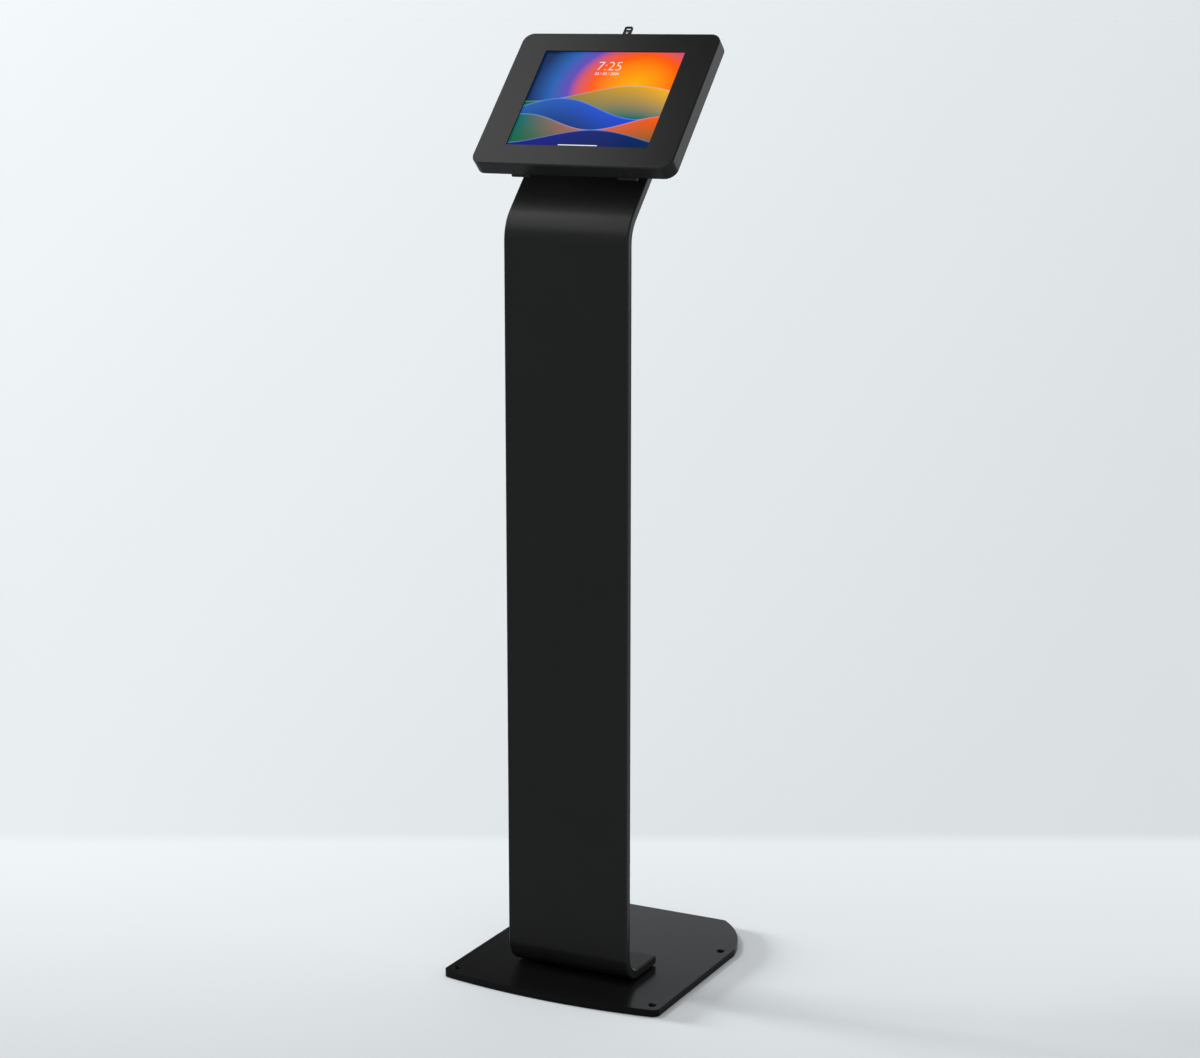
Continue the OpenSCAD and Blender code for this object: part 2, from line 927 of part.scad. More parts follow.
module front_cover() {
    color(black_coat)
        difference() {
            on_head()
                translate([0, head_h / 2, 0]) {
                    sweep_round(head_w, head_h, head_corner_r)
                        cover_wall_section();
                    translate([0, 0, -sheet_t])
                        linear_extrude(sheet_t)
                            difference() {
                                tray_outline(head_edge_r);
                                translate([0, middle_y - head_h / 2])
                                    square([window_w, window_h], center = true);
                            }
                }
            on_lock()
                translate([0, 0, -sheet_t - through])
                    cylinder(d = lock_d + 2 * lock_fit, h = sheet_t + 2 * through);
            at_cover_leaf_rivets()
                translate([0, 0, -through])
                    cylinder(r = rivet_r + running, h = sheet_t + 2 * through);
        }
}

module window_gasket() {
    lap = 2 * window_gasket_lap;
    color(rubber)
        at_tablet(-sheet_t - window_gasket_t)
            linear_extrude(window_gasket_t)
                difference() {
                    rounded_rect(window_w + 2 * window_gasket_w, window_h + window_gasket_w, window_gasket_r);
                    square([window_w + lap, window_h + lap], center = true);
                }
}

// Lock and key

module lock_body() {
    color(zinc)
        on_lock()
            difference() {
                union() {
                    translate([0, 0, -barrel_len])
                        cylinder(d = lock_d, h = barrel_len);
                    cylinder(r1 = lock_flange_r, r2 = lock_flange_r - lock_flange_t / 2, h = lock_flange_t);
                }
                translate([0, 0, -barrel_len - through])
                    cylinder(r = plug_r + running, h = barrel_len + lock_flange_t + 2 * through);
            }
}

module lock_nut() {
    color(zinc)
        on_lock()
            translate([0, 0, -sheet_t - lock_nut_t])
                difference() {
                    cylinder(d = lock_nut_flats / cos(30), h = lock_nut_t, $fn = 6);
                    translate([0, 0, -through])
                        cylinder(r = lock_d / 2 + running, h = lock_nut_t + 2 * through);
                }
}

module lock_plug() {
    color(steel)
        on_lock()
            difference() {
                union() {
                    translate([0, 0, cam_top_z])
                        cylinder(r = plug_r, h = lock_flange_t - cam_top_z);
                    translate([-tail_w / 2, -tail_w / 2, cam_bottom_z])
                        cube([tail_w, tail_w, cam_t]);
                }
                translate([-keyway_w / 2, -keyway_t / 2, keyway_bottom_z])
                    cube([keyway_w, keyway_t, lock_flange_t - keyway_bottom_z + through]);
                translate([0, 0, cam_bottom_z - through])
                    cylinder(r = cam_screw_r + running, h = cam_screw_grip + 2 * through);
            }
}

// The cam points to the back at rest. Turned a quarter, it points to +x, behind the catch's lip
module lock_cam() {
    tip_y = cam_reach - cam_w / 2;
    color(zinc)
        on_lock()
            translate([0, 0, cam_bottom_z])
                linear_extrude(cam_t)
                    difference() {
                        union() {
                            circle(cam_w / 2 + 0.4);
                            translate([-cam_w / 2, 0])
                                square([cam_w, tip_y]);
                            translate([0, tip_y])
                                circle(cam_w / 2);
                        }
                        square(tail_w + 2 * running, center = true);
                    }
}

module cam_screw() {
    color(zinc)
        on_lock()
            translate([0, 0, cam_bottom_z]) {
                translate([0, 0, -cam_screw_head_h])
                    cylinder(r1 = cam_screw_head_r * 0.8, r2 = cam_screw_head_r, h = cam_screw_head_h);
                cylinder(r = cam_screw_r, h = cam_screw_grip);
            }
}

module key_outline(gap) {
    translate([-blade_w / 2 - gap, blade_bottom_z])
        square([blade_w + 2 * gap, bow_bottom_z - blade_bottom_z]);
    translate([-tongue_w / 2 - gap, bow_bottom_z])
        square([tongue_w + 2 * gap, tongue_top_z - bow_bottom_z + gap]);
}

module key_blade() {
    color(brass)
        on_lock()
            translate([0, blade_t / 2, 0])
                rotate([90, 0, 0])
                    linear_extrude(blade_t)
                        key_outline(0);
}

module key_bow() {
    bow_h = key_h - bow_bottom_z;
    color(black_plastic)
        on_lock()
            difference() {
                translate([0, bow_t / 2, 0])
                    rotate([90, 0, 0])
                        linear_extrude(bow_t)
                            difference() {
                                translate([0, bow_bottom_z + bow_h / 2])
                                    rounded_rect(bow_w, bow_h, bow_corner_r);
                                translate([0, key_h - ring_rim - ring_slot_h / 2])
                                    rounded_rect(ring_slot_w, ring_slot_h, ring_slot_r);
                                translate([-bow_window_w / 2, tongue_top_z - bow_window_h - 1])
                                    square([bow_window_w, bow_window_h]);
                            }
                translate([0, blade_t / 2 + running, 0])
                    rotate([90, 0, 0])
                        linear_extrude(blade_t + 2 * running)
                            key_outline(running);
            }
}

// Catch

module on_catch() {
    on_head()
        translate([0, head_h + cam_top_z - catch_w - catch_top_gap, 0])
            children();
}

module at_catch_screws() {
    on_catch()
        translate([catch_wall_x + catch_foot_len * 0.6, catch_w / 2 + 2, tray_floor_z])
            children();
}

module lock_catch() {
    lip_z = catch_lip_z - head_d / 2;
    color(black_coat)
        difference() {
            on_catch() {
                translate([catch_wall_x, 0, tray_floor_z])
                    cube([catch_foot_len, catch_foot_w, catch_t]);
                translate([catch_wall_x, 0, tray_floor_z])
                    cube([catch_t, catch_w, lip_z + catch_t - tray_floor_z]);
                translate([catch_x, 0, lip_z])
                    cube([catch_wall_x + catch_t - catch_x, catch_w, catch_t]);
            }
            at_catch_screws()
                translate([0, 0, -through])
                    cylinder(r = catch_screw_r + running, h = catch_t + 2 * through);
        }
}

module catch_screws() {
    color(zinc)
        at_catch_screws() {
            translate([0, 0, -tray_t])
                cylinder(r = catch_screw_r, h = tray_t + catch_t);
            translate([0, 0, catch_t])
                cylinder(r1 = catch_screw_head_r, r2 = catch_screw_head_r * 0.7, h = catch_screw_head_h);
        }
}

base_plate();
base_pads();
foot_gasket();
foot_screws();
column_plate();
mount_bracket();
bracket_bolts();
bracket_nuts();
cable_grommet();
back_tray();
tray_screws();
tray_nuts();
foam_strips();
corner_blocks();
tablet_housing();
tablet_glass();
power_button();
volume_rocker();
lock_catch();
catch_screws();
hinge_tray_leaves();
tray_leaf_rivets();
hinge_pins();
hinge_cover_leaves();
cover_leaf_rivets();
front_cover();
window_gasket();
lock_body();
lock_nut();
lock_plug();
lock_cam();
cam_screw();
key_blade();
key_bow();
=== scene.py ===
# %% [markdown]
# Dressing a floor-standing tablet kiosk.
# The kiosk is a flat steel base, one wide plate bent into a column, and a leaning box that locks a tablet
# behind a window. Its construction comes from a CAD model, which is loaded here as a fixed frame: every
# piece made below sits where that frame says. What Blender adds is what the CAD solids lack: broken edges,
# smooth bends, the black powder coat, the lit screen, and a pale studio to look at it in.

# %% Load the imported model
import json
import math
from math import radians

import bmesh
import bpy
from bmesh.types import BMEdge, BMFace, BMVert
from mathutils import Matrix, Vector


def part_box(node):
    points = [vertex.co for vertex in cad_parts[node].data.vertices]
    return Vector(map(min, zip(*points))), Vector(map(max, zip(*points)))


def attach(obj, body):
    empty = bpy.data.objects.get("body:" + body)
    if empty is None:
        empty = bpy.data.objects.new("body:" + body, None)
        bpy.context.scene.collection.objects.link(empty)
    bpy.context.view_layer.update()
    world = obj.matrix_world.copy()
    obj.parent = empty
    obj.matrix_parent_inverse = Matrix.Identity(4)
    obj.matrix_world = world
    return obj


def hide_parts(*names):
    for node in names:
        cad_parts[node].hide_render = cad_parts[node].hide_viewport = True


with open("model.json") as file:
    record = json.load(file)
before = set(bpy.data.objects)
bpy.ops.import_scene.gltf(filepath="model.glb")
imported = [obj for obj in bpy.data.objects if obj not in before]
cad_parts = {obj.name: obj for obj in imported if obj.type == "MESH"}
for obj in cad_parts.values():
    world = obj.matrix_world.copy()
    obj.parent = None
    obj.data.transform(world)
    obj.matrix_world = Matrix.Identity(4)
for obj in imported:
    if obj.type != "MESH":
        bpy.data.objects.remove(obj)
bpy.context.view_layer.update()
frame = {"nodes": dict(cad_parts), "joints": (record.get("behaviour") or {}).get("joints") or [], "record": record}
nodes = frame["nodes"]
record = frame["record"]
body_of = {node: body for body, members in record["behaviour"]["bodies"].items() for node in members}
slot_of = {part["node"]: part["material_slot"] for part in record["subparts"]}

# %% [markdown]
# The head, the box with the window, leans back. Its pieces are easiest to build lying flat, with x across,
# y up the face and z out of the face, and then to be carried into place by one matrix. The lean needs no
# number here: the key is drawn out along the face, so the direction of that joint is the face's own up.

# %% The head's frame
across = Vector((1, 0, 0))
joints = {joint["name"]: joint for joint in frame["joints"]}
up_face = Vector(joints["key_withdraw"]["axis"]).normalized()
out_of_face = across.cross(up_face)
lean = math.atan2(up_face.y, up_face.z)
face_turn = Matrix((across, up_face, out_of_face)).transposed().to_4x4()


def box_along(turn, node):
    """Lowest and highest corner of a CAD node along the turned axes."""
    back = turn.inverted()
    points = [back @ vertex.co for vertex in nodes[node].data.vertices]
    low = Vector([min(point[i] for point in points) for i in range(3)])
    high = Vector([max(point[i] for point in points) for i in range(3)])
    return low, high


cover_low, cover_high = box_along(face_turn, "front_cover")
on_head = face_turn @ Matrix.Translation((0, cover_low.y, cover_high.z))
head_w, head_h, head_d = cover_high - cover_low
print(f"lean {math.degrees(lean):.1f} degrees, head {head_w:.4f} x {head_h:.4f} x {head_d:.4f} m")

# %% [markdown]
# The camera stands where the photographer stood. Its place was solved from the straight edges of the
# object: a long lens, a little above the top of the column, off to the object's right and tipped down. The
# lens is worked out from the focal length in pixels, so it holds for any picture of the same shape.

# %% Camera
photo_w = 1200
focal_px = 2537.6
camera_place = Vector((1.4983, -2.9625, 1.2822))
camera_azimuth = radians(26.93)
camera_pitch = radians(11.56)
scene = bpy.context.scene


def linked(name, data):
    """A new object in the scene."""
    made = bpy.data.objects.new(name, data)
    scene.collection.objects.link(made)
    return made


camera = linked("camera", bpy.data.cameras.new("camera"))
camera.data.sensor_width = 36
camera.data.lens = camera.data.sensor_width * focal_px / photo_w
camera.data.clip_end = 2000
camera.location = camera_place
camera.rotation_euler = (math.pi / 2 - camera_pitch, 0, camera_azimuth)
scene.camera = camera
scene.view_settings.view_transform = "Standard"
print(f"lens {camera.data.lens:.1f} mm")

# %% [markdown]
# Shader maths reads best as ordinary arithmetic. The small class below stands for one socket of a node
# tree: adding or multiplying two of them adds the Math node, and one method makes any other node.
# Everything that follows, from the grain of the paint to the picture on the screen, is written with it.

# %% A socket to calculate with


def set_stops(ramp, stops):
    """Fills a colour ramp with (place, colour) pairs."""
    while len(ramp.elements) < len(stops):
        ramp.elements.new(1)
    for element, (place, colour) in zip(ramp.elements, stops):
        element.position = place
        element.color = colour


class Wire:
    """One output in a node tree. Python's operators on wires and numbers add Math nodes."""

    def __init__(self, tree, socket=None):
        self.tree = tree
        self.socket = socket

    def node(self, kind, settings=None, sockets=None, output=0):
        """Adds a node, sets it up, feeds its sockets by name or number, and gives one of its outputs."""
        made = self.tree.nodes.new(kind)
        for name, value in (settings or {}).items():
            if name == "stops":
                set_stops(made.color_ramp, value)
            else:
                setattr(made, name, value)
        for name, value in (sockets or {}).items():
            self.feed(made.inputs[name], value)
        return Wire(self.tree, made.outputs[output])

    def feed(self, target, value):
        """Links a wire to a socket, or sets the socket's own value."""
        if isinstance(value, Wire):
            self.tree.links.new(value.socket, target)
        else:
            target.default_value = value

    def math(self, operation, *values, clamp=False):
        settings = {"operation": operation, "use_clamp": clamp}
        return self.node("ShaderNodeMath", settings, dict(enumerate(values)))

    def __add__(self, other):
        return self.math("ADD", self, other)

    def __sub__(self, other):
        return self.math("SUBTRACT", self, other)

    def __rsub__(self, other):
        return self.math("SUBTRACT", other, self)

    def __mul__(self, other):
        return self.math("MULTIPLY", self, other)

    def __truediv__(self, other):
        return self.math("DIVIDE", self, other)

    def __rtruediv__(self, other):
        return self.math("DIVIDE", other, self)

    __radd__ = __add__
    __rmul__ = __mul__

    def clamped(self):
        return self.math("ADD", self, 0, clamp=True)

    def eased(self):
        """The value raised to one and a half, which starts more slowly."""
        return self.math("POWER", self, 1.5)

    def over(self, edge, softness):
        """0 below an edge and 1 above it, with a smooth step of that softness between."""
        span = {"Value": self - edge, "From Min": -softness, "From Max": softness}
        return self.node("ShaderNodeMapRange", {"interpolation_type": "SMOOTHSTEP"}, span)

    def along(self, direction, start=0.0):
        """How far a point lies along a direction, from a start."""
        sockets = {0: self, 1: tuple(direction)}
        return self.node("ShaderNodeVectorMath", {"operation": "DOT_PRODUCT"}, sockets, 1) - start

    def blend(self, first, second):
        """A colour between two, by this wire's value."""
        return self.node("ShaderNodeMix", {"data_type": "RGBA"}, {0: self, 6: first, 7: second}, 2)

    def noise(self, size, detail=2.0, roughness=0.5):
        """Noise from 0 to 1 over these coordinates, with grains of about that size."""
        sockets = {"Vector": self, "Scale": 1 / size, "Detail": detail, "Roughness": roughness}
        return self.node("ShaderNodeTexNoise", {}, sockets)

    def stretched(self, scale):
        """These coordinates, scaled along each axis."""
        return self.node("ShaderNodeMapping", {}, {"Vector": self, "Scale": scale})


def rgb(red, green, blue):
    """A shader colour from the eight-bit numbers that a colour picker shows."""
    levels = [value / 255 for value in (red, green, blue)]
    linear = [v / 12.92 if v <= 0.04045 else ((v + 0.055) / 1.055) ** 2.4 for v in levels]
    return (*linear, 1.0)


print("white is", rgb(255, 255, 255))

# %% [markdown]
# The studio is one endless pale sweep. A soft line parts the floor from the wall behind, so the floor here
# is one wide disc whose colour changes across such a line. Its colour carries painted light and shade: the
# wall is painted lighter to the left and towards the top, and the floor lighter to the left and darker
# towards the camera. A real wall so close to the object would hide it from behind, and a painted one can't.
# The light on the disc is the same everywhere, so its colour is what shows, and the object keeps its shadow.

# %% The sweep's colour
ahead = Vector((-math.sin(camera_azimuth), math.cos(camera_azimuth), 0))
aside = Vector((math.cos(camera_azimuth), math.sin(camera_azimuth), 0))
line_distance = 3.832
line_softness = 0.035
front_distance = 2.95
side_reach = 0.23
nearest = 0.5

# Left and right tones of the wall and the floor; the differences between them are painted light and shade
wall_low = rgb(233, 238, 241), rgb(218, 223, 226)
wall_high = rgb(244, 249, 252), rgb(224, 229, 232)
floor_far = rgb(241, 246, 249), rgb(232, 237, 240)
floor_near = rgb(217, 222, 225)


def sweep_colour(place):
    """The sweep's colour, with its painted light and shade, by how far a point lies ahead of and beside the
    camera.
    """
    depth = place.along(ahead, camera_place.dot(ahead))
    depth = depth.math("MAXIMUM", depth, nearest)
    right = (place.along(aside, camera_place.dot(aside)) / depth / (2 * side_reach) + 0.5).clamped()
    high = (1 - line_distance / depth).clamped().eased()
    near = ((line_distance - depth) / (line_distance - front_distance)).clamped().eased()
    wall = high.blend(right.blend(*wall_low), right.blend(*wall_high))
    floor = near.blend(right.blend(*floor_far), floor_near)
    return depth.over(line_distance, line_softness).blend(floor, wall)


print(f"the floor's far line lies {line_distance + camera_place.dot(ahead):.2f} m behind the origin")

# %% The floor disc
floor_reach = 300


def new_material(name):
    """A new node material, and a wire to build in it."""
    material = bpy.data.materials.new(name)
    material.use_nodes = True
    return material, Wire(material.node_tree)


def mesh_of(shape, name):
    """Turns a bmesh into a mesh."""
    mesh = bpy.data.meshes.new(name)
    shape.to_mesh(mesh)
    shape.free()
    return mesh


def painted(shape, name, paint):
    """A new object made of a bmesh and one material."""
    mesh = mesh_of(shape, name)
    mesh.materials.append(paint)
    return linked(name, mesh)


sweep_paint, wire = new_material("sweep_paint")
sweep_shader = sweep_paint.node_tree.nodes["Principled BSDF"]
wire.feed(sweep_shader.inputs["Base Color"], sweep_colour(wire.node("ShaderNodeTexCoord", output="Object")))
sweep_shader.inputs["Roughness"].default_value = 1
sweep_shader.inputs["Specular IOR Level"].default_value = 0

floor_shape = bmesh.new()
bmesh.ops.create_circle(floor_shape, cap_ends=True, segments=96, radius=floor_reach)
sweep = painted(floor_shape, "sweep", sweep_paint)
print(f"{sweep.name}: a disc {floor_reach} m in radius")

# %% [markdown]
# Light comes from three places. The world gives an even fill, and shows the camera and every reflection a
# pale horizon under a dim ceiling. Two wide suns on the object's left throw its soft shadows: a high one,
# and a low one that draws out the shadow of the thin base. Both are kept out of reflections, where they
# would glare. World and suns together light a white sheet to about white. The third place, the softboxes,
# comes after them.

# %% World
fill_level = 0.56
ceiling_tone = (0.07, 0.07, 0.073, 1)
ceiling_starts, ceiling_softness = 0.375, 0.06
ray_kinds = "Camera", "Glossy", "Transmission"

world = bpy.data.worlds.new("studio")
world.use_nodes = True
scene.world = world
wire = Wire(world.node_tree)
direction = wire.node("ShaderNodeTexCoord", output="Generated")
right = (direction.along(aside) / (2 * side_reach) + 0.5).clamped()
ceiling = direction.along((0, 0, 1)).over(ceiling_starts, ceiling_softness)
surroundings = ceiling.blend(right.blend(*wall_high), ceiling_tone)
seen = wire.node("ShaderNodeBackground", {}, {"Color": surroundings, "Strength": 1.0})
fill = wire.node("ShaderNodeBackground", {}, {"Color": (1, 1, 1, 1), "Strength": fill_level})
rays = [wire.node("ShaderNodeLightPath", output=f"Is {kind} Ray") for kind in ray_kinds]
shown = (rays[0] + rays[1] + rays[2]).clamped()
mixed = wire.node("ShaderNodeMixShader", {}, {0: shown, 1: fill, 2: seen})
wire.feed(world.node_tree.nodes["World Output"].inputs["Surface"], mixed)
print(f"the world gives a white sheet {fill_level:.0%} of its light")

# %% Suns
sun_width = radians(12)


def lamp(name, kind, place, aim, **settings):
    """A lamp at a place, turned towards a point, that the camera doesn't see."""
    data = bpy.data.lights.new(name, kind)
    for key, value in settings.items():
        setattr(data, key, value)
    made = linked(name, data)
    made.location = place
    made.rotation_euler = (Vector(aim) - Vector(place)).to_track_quat("-Z", "Y").to_euler()
    made.visible_camera = False
    return made


def soft_sun(name, share, height, front):
    """A wide sun on the object's left that gives a level sheet its share of the light, and doesn't glare."""
    place = Vector((-math.cos(height), -front * math.cos(height), math.sin(height)))
    energy = share * math.pi / math.sin(height)
    made = lamp(name, "SUN", place, (0, 0, 0), energy=energy, angle=sun_width)
    made.visible_glossy = False


soft_sun("high_sun", share=0.17, height=radians(52), front=0.16)
soft_sun("low_sun", share=0.27, height=radians(8.5), front=0.04)
print("suns:", [light.name for light in bpy.data.lights])

# %% [markdown]
# Three softboxes, which show in glossy surfaces alone, add the gradients that tell a satin black from a
# flat one. Two hang above and to the left. The head's face mirrors the first, and the knee mirrors the
# second, which hangs further to the front. The third stands behind and to the right, for the right-hand
# edges. A dark card behind and to the left, a little above the floor, is the opposite of a lamp: only
# reflections see it, and it deepens the left half of the base.

# %% Softboxes and dark card
hung_x, hung_z, hung_w = -0.79, 2.0, 0.8
right_place, right_aim, right_size = (1.1, 1.5, 1.32), (0.1, 0, 0.9), 1.0
card_place, card_w, card_h = (-0.83, 0.42, 0.31), 1.1, 0.38
card_tone = (0.01, 0.01, 0.01, 1)


def softbox(name, place, aim, width, depth, radiance):
    """A flat lamp of an even brightness that shows in glossy surfaces alone."""
    energy = radiance * math.pi * width * depth
    made = lamp(name, "AREA", place, aim, shape="RECTANGLE", size=width, size_y=depth, energy=energy)
    made.visible_diffuse = False


def hung_box(name, y, depth, radiance):
    """A softbox that hangs above the object's left and looks straight down."""
    softbox(name, (hung_x, y, hung_z), (hung_x, y, 0), hung_w, depth, radiance)


def unit_square(shape, matrix):
    """A square face one metre wide, carried by a matrix."""
    bmesh.ops.create_grid(shape, x_segments=1, y_segments=1, size=0.5, matrix=matrix)


hung_box("top_box", y=-0.32, depth=0.84, radiance=5.6)
hung_box("front_box", y=-1.38, depth=1.28, radiance=4.6)
softbox("right_box", right_place, right_aim, right_size, right_size, radiance=1.8)

card_shape = bmesh.new()
upright = Matrix.Translation(card_place) @ Matrix.Rotation(math.pi / 2, 4, "X")
unit_square(card_shape, upright @ Matrix.Diagonal((card_w, card_h, 1, 1)))
card_paint = new_material("card_paint")[0]
card_paint.node_tree.nodes["Principled BSDF"].inputs["Base Color"].default_value = card_tone
card = painted(card_shape, "dark_card", card_paint)
card.visible_camera = card.visible_diffuse = card.visible_shadow = False
print("lamps:", [light.name for light in bpy.data.lights])

# %% [markdown]
# Finishes. Each is one Principled shader whose patterns are written on the object's own coordinates, so a
# grain has its real size on every piece and nothing has to be unwrapped. The meshes made further down mark
# two kinds of faces for the paint: those that an edge was rounded with, and those that were ground flat.

# %% A finish
EDGE = "rounded_edge"
GROUND = "ground_face"


class Finish:
    """A material with one Principled shader, written on the object's own coordinates."""

    def __init__(self, name, **sockets):
        self.material, self.wire = new_material(name)
        self.shader = self.wire.tree.nodes["Principled BSDF"]
        self.place = self.wire.node("ShaderNodeTexCoord", output="Object")
        self.set(sockets)

    def set(self, sockets):
        for name, value in sockets.items():
            self.wire.feed(self.shader.inputs[name], value)

    def attribute(self, name):
        return self.wire.node("ShaderNodeAttribute", {"attribute_name": name}, output="Fac")

    def bump(self, height, depth):
        """Raises the surface by a height from 0 to 1 times a depth in metres."""
        self.set({"Normal": self.wire.node("ShaderNodeBump", {}, {"Height": height, "Distance": depth})})


def times(share, tone):
    """A colour made darker or lighter by a share."""
    return (*(share * level for level in tone[:3]), 1)


print("marks for the paint:", EDGE, "and", GROUND)

# %% [markdown]
# Powder coat is a plastic skin baked on in fine grains, so it has a low satin gloss, a grain of about half
# a millimetre and a slow unevenness called orange peel. Its colour is painted lighter along rounded edges:
# partly a thinner coat there, partly a painted highlight. The base's level faces are ground flat before
# they are coated and shine more, which the shader's own clear coat adds where the mesh marks a ground face.

# %% Powder coat


def powder_coat(name, tone, gloss_loss, mirror, ground_gloss=None):
    """Black powder coat: satin and finely grained, with a painted highlight along its edges, glossier on ground
    faces.
    """
    coat = Finish(name)
    coat.shader.inputs["Specular IOR Level"].default_value = mirror
    if ground_gloss:
        coat.shader.inputs["Coat IOR"].default_value = ground_gloss
        coat.shader.inputs["Coat Roughness"].default_value = gloss_loss
        coat.set({"Coat Weight": coat.attribute(GROUND)})
    grain = coat.place.noise(size=0.0007)
    peel = coat.place.noise(size=0.006, detail=1.0)
    patches = coat.place.noise(size=0.09, detail=3.0)
    edge = coat.attribute(EDGE)
    body = (patches * 0.5 + grain * 0.5).blend(times(0.8, tone), times(1.2, tone))
    coat.set({
        # Rounded-edge faces take twice the tone: a thinner coat, and a painted highlight where an edge catches
        # light
        "Base Color": (edge * 0.6).blend(body, times(2, tone)),
        "Roughness": gloss_loss + (patches - 0.5) * 0.06 + (grain - 0.5) * 0.06 + edge * 0.04,
    })
    coat.bump(grain * 0.6 + peel * 0.4, depth=0.00006)
    return coat


head_black = (0.014, 0.014, 0.0142, 1)
column_black = (0.011, 0.011, 0.0112, 1)
base_black = (0.006, 0.006, 0.0062, 1)
finishes = {
    "black_coat": powder_coat("black_coat", head_black, gloss_loss=0.31, mirror=0.074),
    "column_coat": powder_coat("column_coat", column_black, gloss_loss=0.32, mirror=0.1),
    "base_coat": powder_coat("base_coat", base_black, gloss_loss=0.22, mirror=0.035, ground_gloss=1.135),
}
print("coats:", sorted(finishes))

# %% [markdown]
# The soft pieces are rubber and foam. Moulded rubber is matt, with a fine texture and a trace of grey
# bloom. Foam is duller still, and its skin shows small closed cells, which a Voronoi pattern draws.

# %% Rubber and foam


def rubber_skin(name):
    """Matt black rubber with a fine moulded texture and a trace of grey bloom."""
    skin = Finish(name)
    skin.shader.inputs["Specular IOR Level"].default_value = 0.25
    grain = skin.place.noise(size=0.0009, detail=3.0)
    bloom = skin.place.noise(size=0.02, detail=3.0)
    skin.set({
        "Base Color": bloom.blend((0.008, 0.008, 0.008, 1), (0.022, 0.022, 0.022, 1)),
        "Roughness": 0.72 + (grain - 0.5) * 0.2,
    })
    skin.bump(grain, depth=0.00008)
    return skin


def cell_foam(name):
    """Closed-cell foam: dull, with a skin of small cells."""
    cell_size = 0.0016
    foam = Finish(name)
    foam.shader.inputs["Specular IOR Level"].default_value = 0.15
    sockets = {"Vector": foam.place, "Scale": 1 / cell_size}
    cells = foam.wire.node("ShaderNodeTexVoronoi", {}, sockets, "Distance")
    tint = foam.place.noise(size=0.015)
    foam.set({
        "Base Color": (cells * 0.6 + tint * 0.4).blend((0.02, 0.02, 0.021, 1), (0.055, 0.055, 0.058, 1)),
        "Roughness": 0.85 + (tint - 0.5) * 0.1,
    })
    foam.bump(cells, depth=0.0003)
    return foam


finishes["rubber"] = rubber_skin("rubber")
finishes["foam"] = cell_foam("foam")
print("finishes:", sorted(finishes))

# %% [markdown]
# Screws, lock and key are plated steel. They are drawn or turned, which leaves marks that are long one way
# and fine the other: the noise that makes them is squeezed along one axis. The tablet's housing is
# aluminium, blasted with fine beads and anodised, which leaves an even grain. The key's bow is moulded
# plastic, with the fine grain of a spark-eroded mould.

# %% Metals and plastic


def plated_steel(name, tone, gloss_loss, drawn):
    """Plated steel: metal, with marks squeezed along one axis and a cloudy unevenness."""
    plate = Finish(name, Metallic=1.0)
    marks = plate.place.stretched(drawn).noise(size=0.0006, detail=3.0)
    cloud = plate.place.noise(size=0.012, detail=3.0)
    plate.set({
        "Base Color": (marks * 0.35 + cloud * 0.65).blend(times(0.72, tone), tone),
        "Roughness": gloss_loss + (marks - 0.5) * 0.16 + (cloud - 0.5) * 0.1,
    })
    plate.bump(marks, depth=0.00002)
    return plate


def blasted_aluminium(name):
    """Bead-blasted and anodised aluminium: an even, sparkling grain."""
    skin = Finish(name, Metallic=1.0)
    beads = skin.place.noise(size=0.0003, detail=1.0)
    cloud = skin.place.noise(size=0.05)
    skin.set({
        "Base Color": (beads * 0.5 + cloud * 0.5).blend((0.42, 0.43, 0.45, 1), (0.58, 0.59, 0.61, 1)),
        "Roughness": 0.38 + (beads - 0.5) * 0.15,
    })
    skin.bump(beads, depth=0.00003)
    return skin


def moulded_plastic(name):
    """Black moulded plastic with a spark-eroded grain."""
    skin = Finish(name)
    skin.shader.inputs["Specular IOR Level"].default_value = 0.12
    grain = skin.place.noise(size=0.0004)
    flow = skin.place.noise(size=0.008)
    skin.set({
        "Base Color": flow.blend((0.003, 0.003, 0.003, 1), (0.007, 0.007, 0.007, 1)),
        "Roughness": 0.42 + (grain - 0.5) * 0.16,
    })
    skin.bump(grain, depth=0.00004)
    return skin


zinc_tone = (0.50, 0.50, 0.52, 1)
nickel_tone = (0.26, 0.255, 0.25, 1)
finishes["zinc"] = plated_steel("zinc", zinc_tone, gloss_loss=0.36, drawn=(1, 1, 6))
finishes["lock_steel"] = plated_steel("lock_steel", nickel_tone, gloss_loss=0.42, drawn=(8, 1, 1))
finishes["tablet_metal"] = blasted_aluminium("tablet_metal")
finishes["key_plastic"] = moulded_plastic("key_plastic")
print("finishes:", sorted(finishes))

# %% [markdown]
# The screen is lit from within, so its picture is an emission under a glossy pane. The picture is a made-up
# one: low hills under an evening sky, in deep blue, teal, green, yellow and orange. Each hill is a wave: a
# point is on it where it lies below the wave's height. The hills are laid over each other from the farthest
# to the nearest, each with a thin pale rim along its ridge.

# %% The screen's picture
display_border = 0.006
glass_low, glass_high = box_along(face_turn, "tablet_glass")
glass_middle = (glass_low + glass_high) / 2
display_half = (glass_high - glass_low) / 2 - Vector((display_border, display_border, 0))

NAVY, INK = rgb(2, 42, 92), rgb(2, 16, 62)
AZURE, BLUE, ROYAL = rgb(34, 96, 176), rgb(30, 66, 228), rgb(8, 8, 142)
TEAL, GREEN = rgb(8, 106, 108), rgb(4, 98, 54)
GOLD, AMBER, ORANGE = rgb(250, 178, 8), rgb(255, 138, 2), rgb(255, 88, 0)
ROSE, VIOLET, PALE = rgb(216, 86, 100), rgb(96, 74, 184), rgb(150, 196, 255)


def wave(across_screen, level, swing, length, shift):
    """The height of a hill's ridge over the screen's width."""
    turns = across_screen * (2 * math.pi / length) + shift
    return level + turns.math("SINE", turns) * swing


